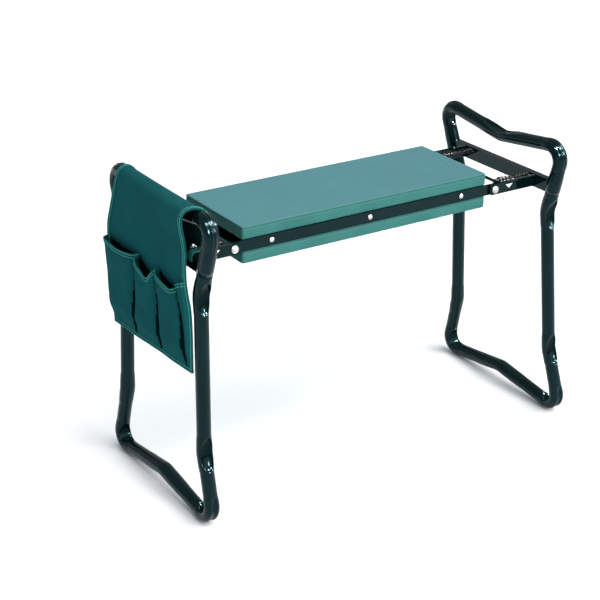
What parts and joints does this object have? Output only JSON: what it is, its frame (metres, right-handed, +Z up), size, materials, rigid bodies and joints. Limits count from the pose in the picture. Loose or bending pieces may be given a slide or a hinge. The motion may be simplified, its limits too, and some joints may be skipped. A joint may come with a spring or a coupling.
{
  "type": "garden kneeler seat",
  "caption": "Folding garden kneeler and seat: a foam-padded bench hinged between two looped tube frames that serve as legs and hand rails, with a cloth tool pouch over one of them.",
  "frame": {"origin": "on the floor, under the middle of the whole object's bounding box; the middle of the seat is 9 mm to -X of it", "axes": "+X along the seat towards the frame without the pouch, +Y from the front rail to the back rail, +Z up"},
  "size_m": [0.6671, 0.2846, 0.4512],
  "materials": {
    "foam": "matte closed-cell foam with a fine embossed texture",
    "painted_steel": "gloss powder coat, green-black",
    "zinc_steel": "bright zinc plate",
    "spring_steel": "black satin",
    "pouch_cloth": "woven polyester",
    "pouch_binding": "woven tape"
  },
  "bodies": {
    "seat": {"top_pad": "foam", "bottom_pad": "foam", "seat_pan": "painted_steel", "rail_front": "painted_steel", "rail_back": "painted_steel", "rail_rivet_1_front": "zinc_steel", "rail_rivet_1_back": "zinc_steel", "rail_rivet_2_front": "zinc_steel", "rail_rivet_2_back": "zinc_steel", "rail_rivet_3_front": "zinc_steel", "rail_rivet_3_back": "zinc_steel", "left_pivot_bolt_front": "zinc_steel", "left_pivot_bolt_back": "zinc_steel", "left_pivot_nut_front": "zinc_steel", "left_pivot_nut_back": "zinc_steel", "left_pivot_washer_front": "zinc_steel", "left_pivot_washer_back": "zinc_steel", "right_pivot_bolt_front": "zinc_steel", "right_pivot_bolt_back": "zinc_steel", "right_pivot_nut_front": "zinc_steel", "right_pivot_nut_back": "zinc_steel", "right_pivot_washer_front": "zinc_steel", "right_pivot_washer_back": "zinc_steel"},
    "left_frame": {"left_handle_tube": "painted_steel", "left_leg_tube": "painted_steel", "left_channel": "painted_steel", "left_arm_front": "painted_steel", "left_arm_back": "painted_steel", "left_spring_front": "spring_steel", "left_spring_back": "spring_steel", "pouch_sheet": "pouch_cloth", "pouch_pockets": "pouch_cloth", "pouch_strap_front": "pouch_binding", "pouch_strap_back": "pouch_binding"},
    "right_frame": {"right_handle_tube": "painted_steel", "right_leg_tube": "painted_steel", "right_channel": "painted_steel", "right_arm_front": "painted_steel", "right_arm_back": "painted_steel", "right_spring_front": "spring_steel", "right_spring_back": "spring_steel"},
    "left_lock": {"left_lock_bar": "spring_steel"},
    "right_lock": {"right_lock_bar": "spring_steel"}
  },
  "joints": [
    {"name": "left_fold", "type": "hinge", "parent": "seat", "child": "left_frame", "pos_m": [-0.23, 0, 0.375], "axis": [0, -1, 0], "range_deg": [0, 91]},
    {"name": "right_fold", "type": "hinge", "parent": "seat", "child": "right_frame", "pos_m": [0.212, 0, 0.375], "axis": [0, 1, 0], "range_deg": [0, 89]},
    {"name": "left_unlock", "type": "slide", "parent": "left_frame", "child": "left_lock", "axis": [-1, 0, 0], "range_m": [0, 0.009], "stiffness_N_per_m": 800, "springref_m": -0.005, "deforming": ["left_spring_front", "left_spring_back"]},
    {"name": "right_unlock", "type": "slide", "parent": "right_frame", "child": "right_lock", "axis": [1, 0, 0], "range_m": [0, 0.009], "stiffness_N_per_m": 800, "springref_m": -0.005, "deforming": ["right_spring_front", "right_spring_back"]}
  ]
}
